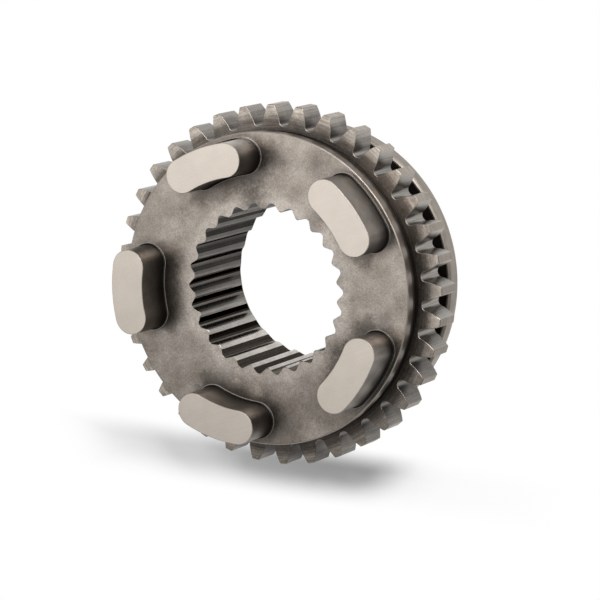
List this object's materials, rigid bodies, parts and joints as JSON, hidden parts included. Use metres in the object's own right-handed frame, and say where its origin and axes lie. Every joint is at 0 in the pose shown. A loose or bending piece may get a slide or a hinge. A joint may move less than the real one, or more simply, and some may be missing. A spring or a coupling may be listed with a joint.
{
  "type": "differential locking gear",
  "caption": "Toothed locking gear with a splined bore, kidney-shaped dogs on its front face and a shift-fork groove behind the teeth.",
  "frame": {"origin": "centre of the flat rear face, on the bore axis; the gear lies on this face with its dogs up", "axes": "+Z along the bore axis, from the rear face towards the dogs; +Y through the middle of one dog"},
  "size_m": [0.095, 0.095, 0.0416],
  "materials": {
    "steel": "satin"
  },
  "bodies": {
    "root": {"locking_gear": "steel"}
  },
  "joints": []
}
